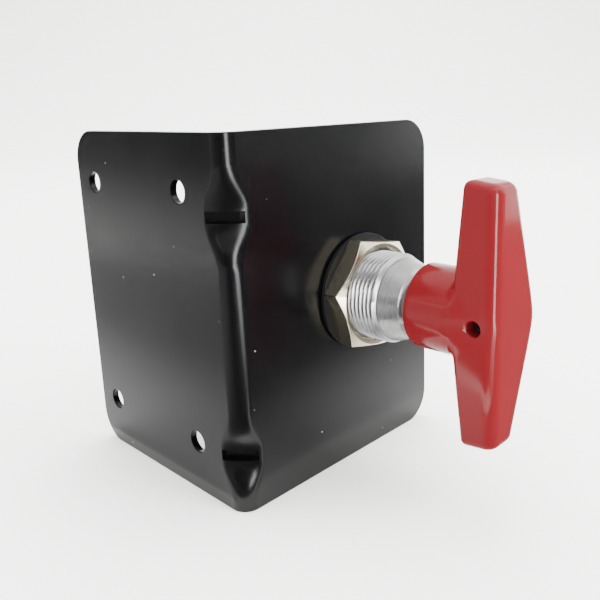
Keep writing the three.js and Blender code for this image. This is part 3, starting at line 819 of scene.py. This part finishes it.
SPINDLE_RADIUS = 5.0
CLIP_GROOVE, CLIP_ROOT = (-24.8, -23.4), 4.4
SEAL_GROOVE, SEAL_ROOT = (-9.2, -6.8), 3.6
ROTOR_SEAT, SEAT_RADIUS = 9.8, 3.6


def make_spindle():
    """A shaft with a groove for its circlip and its O-ring, thinner where the rotor sits."""
    front, rear = node_span("spindle", 1)
    corners = [(CORE, front, 0), (SPINDLE_RADIUS, front, 0.8)]
    for (near, far), root, edge in ((CLIP_GROOVE, CLIP_ROOT, 0.05), (SEAL_GROOVE, SEAL_ROOT, 0)):
        corners += [(SPINDLE_RADIUS, near, edge), (root, near, edge), (root, far, edge),
                    (SPINDLE_RADIUS, far, edge)]
    corners += [(SPINDLE_RADIUS, ROTOR_SEAT, 0), (SEAT_RADIUS, ROTOR_SEAT, 0),
                (SEAT_RADIUS, rear, 0.4), (CORE, rear, 0)]
    finish_piece(lathe("switch_spindle", corners, 72), "spindle")


def make_circlip():
    """A retaining ring with rounded ends and a wide mouth."""
    y0, y1 = node_span("spindle_circlip", 1)
    mouth, inner, width, soft, sides = math.radians(38), 4.55, 2.7, 0.1, 72
    verts = []
    for k in range(sides + 1):
        angle = -math.pi / 2 + mouth / 2 + (2 * math.pi - mouth) * k / sides
        taper = 1 - 0.35 * abs(2 * k / sides - 1) ** 6
        outer = inner + width * taper
        section = [(inner, y0 + soft), (inner + soft, y0), (outer - soft, y0), (outer, y0 + soft),
                   (outer, y1 - soft), (outer - soft, y1), (inner + soft, y1), (inner, y1 - soft)]
        verts += [(r * math.cos(angle), y, r * math.sin(angle)) for r, y in section]
    ring = build("retaining_ring", verts, capped_faces(sides + 1, len(section)), smooth=40)
    finish_piece(ring, "spindle_circlip")


# ---------------- housing and cover

HOUSING_RADIUS = node_size("housing", 0) / 2
HOUSING_INNER = 23.5
FLUTES = 20
BARRIER_HEIGHT = 13.7  # how far the barrier stands off the cover's face
CASE_SCREW_CIRCLE = 26.4
CASE_SCREW_HOLE = 2.2
CASE_SCREW_PLACES = [(CASE_SCREW_CIRCLE * math.cos(math.pi / 4 + k * math.pi / 2),
                      CASE_SCREW_CIRCLE * math.sin(math.pi / 4 + k * math.pi / 2)) for k in range(4)]
STUD_X = 15.0  # how far each stud lies from the switch axis
STUD_HOLE = 5.1


def rod_cutter(radius, start, end, at=(0, 0), sides=40, rim=0.3):
    """A cutter for a round hole along the axis, its mouth at the far end softened."""
    corners = [(CORE, start, 0), (radius, start, 0), (radius, end - rim, 0), (radius + rim, end, 0),
               (radius + rim, end + 1, 0), (CORE, end + 1, 0)]
    return lathe("cutter", corners, sides, at=at)


def screw_holes(start, end, rim=0.3):
    return [rod_cutter(CASE_SCREW_HOLE, start, end, at, rim=rim) for at in CASE_SCREW_PLACES]


def make_housing():
    """A moulded round case with shallow grip flutes and a raised band at each end."""
    front, rear = node_span("housing", 1)
    band, shoulder, flute_end = 3, 3.4, 4  # distances from each end
    step, flute_depth = 0.6, 0.8
    wall = HOUSING_RADIUS - step
    corners = [
        (HOUSING_INNER, front, 0.3), (HOUSING_RADIUS, front, 0.8), (HOUSING_RADIUS, front + band, 0.1),
        (wall, front + shoulder, 0.1), (wall, rear - shoulder, 0.1), (HOUSING_RADIUS, rear - band, 0.1),
        (HOUSING_RADIUS, rear, 0.5), (HOUSING_INNER, rear, 0.3),
    ]

    def flute(radius, y, angle):
        if radius < wall - 0.05 or not front + flute_end < y < rear - flute_end:
            return radius, y
        fade = min((y - front - flute_end) / 2, (rear - flute_end - y) / 2, 1.0)
        hollow = max(0.0, math.cos(angle * FLUTES) + 0.2) / 1.2
        return radius - flute_depth * hollow ** 0.8 * math.sin(fade * math.pi / 2), y

    case = lathe("switch_case", corners, 240, every=1.0, shape=flute)
    carve(case, *screw_holes(front - 1, rear))
    even_shading(case)
    finish_piece(case, "housing")


def make_cover():
    """The rear cover: a disc with a groove near its rim and a barrier between the terminals."""
    front, rear = node_span("rear_cover", 1)
    face = rear - BARRIER_HEIGHT
    outer, inner, lean, depth = 22.4, 21.2, 0.2, 0.6  # of the groove
    corners = [
        (CORE, front, 0), (HOUSING_RADIUS, front, 0.4), (HOUSING_RADIUS, face, 1.2),
        (outer, face, 0.15), (outer - lean, face - depth, 0.2), (inner + lean, face - depth, 0.2),
        (inner, face, 0.15), (CORE, face, 0),
    ]
    cover = lathe("case_cover", corners, 144)
    foot = slab("foot", (-2.6, face - 1, -20.0), (2.6, face + 0.9, 20.0), 0.8)
    barrier = slab("barrier", (-1.5, face - 1, -19.6), (1.5, rear, 19.6), 1.1)
    carve(cover, foot, barrier, operation="UNION")
    studs = [rod_cutter(STUD_HOLE, front - 1, face, (x, 0), 56) for x in (-STUD_X, STUD_X)]
    carve(cover, *screw_holes(front - 1, face, 0.25), *studs)
    even_shading(cover)
    finish_piece(cover, "rear_cover")


def make_cover_gasket():
    """The flat seal between the housing and its cover, with holes for the case screws."""
    front, rear = node_span("cover_gasket", 1)
    outer = HOUSING_RADIUS - 0.25
    corners = [(HOUSING_INNER, front, 0.2), (outer, front, 0.25), (outer, rear, 0.25),
               (HOUSING_INNER, rear, 0.2)]
    gasket = lathe("cover_seal", corners, 120, steps=3)
    carve(gasket, *screw_holes(front - 1, rear))
    finish_piece(gasket, "cover_gasket")


def slab(name, low, high, rounding):
    """A block between two corners with rounded edges."""
    (x0, y0, z0), (x1, y1, z1) = low, high
    verts = [(x, y, z) for x in (x0, x1) for y in (y0, y1) for z in (z0, z1)]
    faces = [(0, 1, 3, 2), (4, 6, 7, 5), (0, 4, 5, 1), (2, 3, 7, 6), (0, 2, 6, 4), (1, 5, 7, 3)]
    block = build(name, verts, faces)
    modify(block, "BEVEL", width=rounding * MM, segments=4, limit_method="ANGLE")
    return block


def make_case_screw(number, at):
    """A socket head cap screw: rounded head with fine knurling and a hexagon socket."""
    node = f"case_screw_{number}"
    start, end = node_span(node, 1)
    shank, head, seat = 2.0, 3.4, end - 3.2
    socket_corner, socket_depth = 1.7, 2.0
    knurls, knurl_depth = 24, 0.09
    corners = [(CORE, start, 0), (shank, start, 0.3), (shank, seat, 0), (head, seat, 0.15),
               (head, end, 0.5), (CORE, end, 0)]

    def knurl(radius, y, angle):
        if radius > head - 0.05 and seat + 0.4 < y < end - 0.7:
            return radius - knurl_depth * (math.cos(angle * knurls) > 0), y
        return radius, y

    screw = lathe(f"cap_screw_{number}", corners, at=at, every=0.5, shape=knurl)
    hexagon = [(socket_corner * math.cos(k * math.pi / 3), socket_corner * math.sin(k * math.pi / 3))
               for k in range(6)]
    verts = [(at[0] + x, y, at[1] + z) for y in (end - socket_depth, end + 1) for x, z in hexagon]
    carve(screw, build("cutter", verts, capped_faces(2, 6)))
    finish_piece(screw, node)


# ---------------- contact springs

def make_coil(name, node, wire, turns):
    """A coil spring in a CAD node's place, from its wire's radius, its end coils closed."""
    (left, right), (start, end), (bottom, top) = [node_span(node, axis) for axis in range(3)]
    x, z = (left + right) / 2 - AXIS_X, (bottom + top) / 2 - AXIS_Z
    reach = (right - left) / 2 - wire
    around, per_turn, closed = 12, 28, 0.7
    rings = turns * per_turn
    verts = []
    for k in range(rings + 1):
        turned = turns * k / rings
        angle = turned * 2 * math.pi
        eased = min(max((turned - closed) / (turns - 2 * closed), 0), 1)
        y = start + wire + (end - start - 2 * wire) * eased
        for j in range(around):
            turn = 2 * math.pi * j / around
            radius = reach + wire * math.cos(turn)
            verts.append((x + radius * math.cos(angle), y + wire * math.sin(turn),
                          z + radius * math.sin(angle)))
    spring = build(name, verts, capped_faces(rings + 1, around), smooth=60)
    finish_piece(spring, node)
    return spring


def make_springs():
    """The contact spring rides between carrier and bridge; the return spring gets its own copy of its
    mesh.
    """
    make_coil("contact_coil", "contact_spring", 0.7, 4)
    spring = make_coil("return_coil", "return_spring", 0.45, 5)
    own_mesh(spring)


# ---------------- terminals

STUD_RADIUS = 5.0
STUD_PITCH = 1.5
WASHER_BORE = 5.15
TERMINAL_ACROSS = 17.0  # across the terminal nuts' flats


def make_stud(side, x):
    """A terminal stud: round head inside the cover, threaded shank outside it."""
    start, end = node_span(f"stud_{side}", 1)
    head, seat = 7.0, start + 4
    corners = [(CORE, start, 0), (head, start, 0.6), (head, seat, 0.2), (STUD_RADIUS, seat, 0),
               (STUD_RADIUS, end - 1, 0), (STUD_RADIUS - 1, end, 0.1), (CORE, end, 0)]
    stud = lathe(f"terminal_stud_{side}", corners, 64, at=(x, 0), every=STUD_PITCH / 8,
                 shape=thread(seat + 4.5, end + 1.2, STUD_RADIUS, STUD_PITCH))
    finish_piece(stud, f"stud_{side}")


def make_spring_washer(side, x):
    """A split washer: one cut right through it, its two ends standing slightly apart."""
    node = f"spring_washer_{side}"
    y0, y1 = node_span(node, 1)
    lift, outer = 0.35, 8.4
    corners = [(WASHER_BORE, y0, 0.15), (outer, y0, 0.2), (outer, y1 - lift, 0.2),
               (WASHER_BORE, y1 - lift, 0.15)]

    def rise(radius, y, angle):
        return radius, y + lift * (1 - angle / (2 * math.pi))

    ring = lathe(f"split_washer_{side}", corners, 90, at=(x, 0), steps=3, shape=rise)
    slit = [(x + 4.5, -0.9), (x + 9.5, -0.2), (x + 9.5, 0.7), (x + 4.5, 0.1)]
    verts = [(across, y, up) for y in (y0 - 1, y1 + 1) for across, up in slit]
    carve(ring, build("cutter", verts, capped_faces(2, 4)))
    finish_piece(ring, node)


def make_terminal(side, x):
    """A stud with its washers and nuts, in the order they are made fast."""
    make_stud(side, x)
    for kind in ("stud_washer", "lug_washer"):
        make_washer(f"flat_{kind}_{side}", f"{kind}_{side}", WASHER_BORE, 0.2, (x, 0))
    make_spring_washer(side, x)
    for kind, turn in (("inner_nut", 4), ("outer_nut", 17)):
        node = f"{kind}_{side}"
        make_nut(f"hex_{node}", node, TERMINAL_ACROSS, STUD_RADIUS + 0.05, math.radians(turn),
                 at=(x, 0))


# ---------------- whole object

def make_pieces():
    make_bracket()
    make_barrel()
    make_clamping_pieces()
    make_handle()
    make_handle_pin()
    make_spindle()
    make_circlip()
    make_housing()
    make_cover()
    make_cover_gasket()
    make_springs()
    for number, at in enumerate(CASE_SCREW_PLACES, 1):
        make_case_screw(number, at)
    for side, x in (("left", -STUD_X), ("right", STUD_X)):
        make_terminal(side, x)


def dress_cad_nodes():
    """The CAD nodes that still show get their finish on their own material slots."""
    for node, piece in frame["nodes"].items():
        piece.data.materials.clear()
        piece.data.materials.append(MATERIALS[SLOT_OF_NODE[node]])


# ---------------- stage, light, camera

WORLD_STRENGTH = 3.4
WORLD_TONES = ((0.0, 0.20), (0.12, 0.28), (0.40, 0.85), (0.75, 1.0))  # (height, tone)
# strength of the glowing sheets that paint a window's reflection; they are no lamp
PAINTED_WINDOW_GLOW = 15.0
CAMERA_PLACE = Vector((-0.9673, -1.2773, 1.0632))  # in bracket heights from its corner
CAMERA_RIGHT = Vector((0.6903, -0.7228, -0.0323))
CAMERA_UP = Vector((0.1818, 0.1301, 0.9747))
CAMERA_LENS = 40.48
CAMERA_SHIFT = (-0.0485, -0.0768)


def make_camera():
    data = bpy.data.cameras.new("camera")
    data.lens = CAMERA_LENS
    data.shift_x, data.shift_y = CAMERA_SHIFT
    data.clip_start = 0.01
    camera = bpy.data.objects.new("camera", data)
    bpy.context.scene.collection.objects.link(camera)
    backward = CAMERA_RIGHT.cross(CAMERA_UP).normalized()
    up = backward.cross(CAMERA_RIGHT).normalized()
    turn = Matrix((CAMERA_RIGHT.normalized(), up, backward)).transposed().to_4x4()
    place = CORNER + CAMERA_PLACE * HEIGHT * MM
    camera.matrix_world = Matrix.Translation(place) @ turn
    bpy.context.scene.camera = camera


def make_floor():
    """A pale sheet that lies flat under the object and sweeps up behind it."""
    flat, radius, wall, width, steps = 1.3, 1.2, 1.6, 2.4, 24  # in metres
    profile = [(-1.6, 0.0), (-0.8, 0.0), (0.0, 0.0), (flat * 0.6, 0.0)]
    for k in range(steps + 1):
        angle = math.pi / 2 * k / steps
        profile.append((flat + radius * math.sin(angle), radius * (1 - math.cos(angle))))
    profile.append((flat + radius, radius + wall))
    away = CAMERA_UP.cross(CAMERA_RIGHT)
    away = Vector((away.x, away.y, 0)).normalized()
    across = Vector((away.y, -away.x, 0))
    verts = [away * far + across * side + Vector((0, 0, up))
             for far, up in profile for side in (-width, 0, width)]
    floor = build("floor", verts, grid_faces(len(profile), 3), Matrix.Identity(4), 60)
    m = Nodes("floor")
    m.set(Base_Color=m.mix(m.noise(3.0), rgb(0.93, 0.935, 0.91), rgb(0.95, 0.955, 0.93)))
    m.set(Roughness=0.7)
    m.shader.inputs["Specular IOR Level"].default_value = 0.0
    floor.data.materials.append(m.material)


def card(name, corners, tones, fade=None, height=None, glow=0.0):
    """A sheet that only reflections see, a painted dark or grey reflection or a glowing painted
    highlight, lying down or standing up to a height.

    Its tone goes from the first to the second along fade, a direction and two distances in
    millimetres from the bracket's corner, or in soft patches without one.
    """
    if height:
        corners = corners + [(x, y, height) for x, y, z in reversed(corners)]
    sheet = build(name, corners, [tuple(range(len(corners)))], CORNER_FRAME)
    m = Nodes(name)
    share = m.noise(4.0)
    if fade:
        towards, near, far = fade
        direction = Vector(towards).normalized()
        inputs = {0: m.place(), 1: direction}
        reach = m.add("VectorMath", inputs, operation="DOT_PRODUCT").outputs["Value"]
        start = direction.dot(CORNER)
        share = m.remap(reach, start + near * MM, start + far * MM, 0.0, 1.0)
    # the painted tone that glossy surfaces mirror as shade or light
    shade = m.mix(share, grey(tones[0]), grey(tones[1]))
    m.set(Base_Color=shade, Roughness=0.9)
    # painted glow: the sheet glows though it is no lamp, and only reflections see it
    if glow:
        m.set(Emission_Color=shade, Emission_Strength=glow)
    sheet.data.materials.append(m.material)
    # only reflections see the sheet, so its tone is a painted reflection
    sheet.visible_camera = False
    sheet.visible_diffuse = False
    sheet.visible_shadow = False


def wall_leg_cards():
    """Painted reflections for the wall leg: sheets darker above, paler near the floor."""
    card("left_wall", [(-168, 168, 2), (-110, 600, 2)], (0.5, 0.04), ((0, 0, 1), -5, 75), 150)
    card("left_wall_top", [(-230, -300, 150), (-110, 600, 150)], (0.12, 0.14), height=600)
    card("left_floor", [(-2, 3, 2), (-1, 190, 2), (50, 420, 2), (-130, 560, 2), (-230, 200, 2)],
         (0.6, 0.17), ((-1, 0, 0), 8, 60))


def switch_leg_cards():
    """Painted reflections for the switch leg, the nut, the barrel and the handle: a floor sheet pale
    beside the bracket and dark towards the front, a standing sheet dark near and pale far off, and a
    dark standing sheet in front.
    """
    right_floor = [(6, -8, 2), (40, -10, 2), (110, -8, 2), (450, 58, 2), (950, -500, 2),
                   (700, -900, 2), (-300, -850, 2), (8, -213, 2), (22, -74, 2)]
    card("right_floor", right_floor, (0.8, 0.03), ((-0.15, -1, 0), -5, 50))
    card("right_wall", [(1300, 0, 0), (500, -900, 0)], (0.16, 0.95),
         ((0.664, 0.747, 0), 40, 300), 420)
    card("middle_wall", [(500, -900, 0), (-270, -900, 0)], (0.02, 0.03), height=1100)


def bend_cards():
    """Painted shade for the bend to mirror: a dark floor sheet and dark standing sheets in front of it.
    """
    front_floor = [(-9, 6, 2), (4, -20, 2), (9, -74, 2), (-30, -213, 2), (-500, -790, 2),
                   (-750, -250, 2), (-600, 600, 2)]
    card("front_floor", front_floor, (0.02, 0.2), ((-0.35, 0.94, 0), -20, 80))
    card("side_wall", [(-600, 600, 0), (-750, -150, 0)], (0.03, 0.18),
         ((0.2, 0.98, 0), -150, 400), 300)
    card("front_wall", [(-750, -150, 0), (-480, -760, 0)], (0.02, 0.03), height=1500)


def window_cards():
    """Glowing sheets that only reflections see: a painted reflection of a narrow window and of the
    light it throws on the floor, which draws a painted highlight line down the bend.
    """
    light = [(8, -66, 3), (-50, -203, 3), (-480, -755, 3), (-250, -855, 3), (28, -217, 3),
             (28, -80, 3)]
    card("painted_floor_light", light, (0.0, 1.0), ((0, -1, 0), 60, 330), glow=PAINTED_WINDOW_GLOW)
    card("window", [(-480, -755, 3), (-250, -855, 3)], (1.0, 0.9), height=500, glow=PAINTED_WINDOW_GLOW)


def make_cards():
    """Sheets that only reflections see, painted reflections of a dark room round the object, in
    millimetres of the corner frame.
    """
    wall_leg_cards()
    switch_leg_cards()
    bend_cards()
    # painted shade overhead: a dim sheet that darkens what the tops of the pieces mirror
    card("ceiling", [(-500, -200, 800), (600, -200, 800), (600, 900, 800), (-500, 900, 800)],
         (0.3, 0.35))
    window_cards()


def area_light(name, place, aim, size, watts):
    """A soft light that lights the pieces but isn't mirrored in them."""
    data = bpy.data.lights.new(name, "AREA")
    data.shape = "RECTANGLE"
    data.size = data.size_y = size
    data.energy = watts
    light = bpy.data.objects.new(name, data)
    bpy.context.scene.collection.objects.link(light)
    direction = Vector(aim) - Vector(place)
    turn = direction.to_track_quat("-Z", "Y").to_matrix().to_4x4()
    light.matrix_world = Matrix.Translation(place) @ turn
    light.visible_glossy = False


def make_world():
    """A bright sky that darkens towards the floor and below it."""
    world = bpy.data.worlds.new("world")
    world.use_nodes = True
    tree = world.node_tree
    nodes, links = tree.nodes, tree.links
    where = nodes.new("ShaderNodeTexCoord")
    split = nodes.new("ShaderNodeSeparateXYZ")
    links.new(where.outputs["Generated"], split.inputs[0])
    ramp = nodes.new("ShaderNodeValToRGB")
    links.new(split.outputs["Z"], ramp.inputs["Fac"])
    while len(ramp.color_ramp.elements) < len(WORLD_TONES):
        ramp.color_ramp.elements.new(1.0)
    for element, (height, tone) in zip(ramp.color_ramp.elements, WORLD_TONES):
        element.position = height
        element.color = rgb(tone, tone, tone * 0.985)
    background = nodes["Background"]
    links.new(ramp.outputs["Color"], background.inputs["Color"])
    background.inputs["Strength"].default_value = WORLD_STRENGTH
    bpy.context.scene.world = world


def make_light():
    make_world()
    area_light("ceiling", (0.5, 0.6, 1.7), (0.3, 0.35, 0), 1.8, 105)
    area_light("key", (0.55, -1.0, 0.8), (0.0, 0.0, 0.0), 0.9, 42)


make_camera()
make_floor()
make_cards()
make_light()
dress_cad_nodes()
make_pieces()
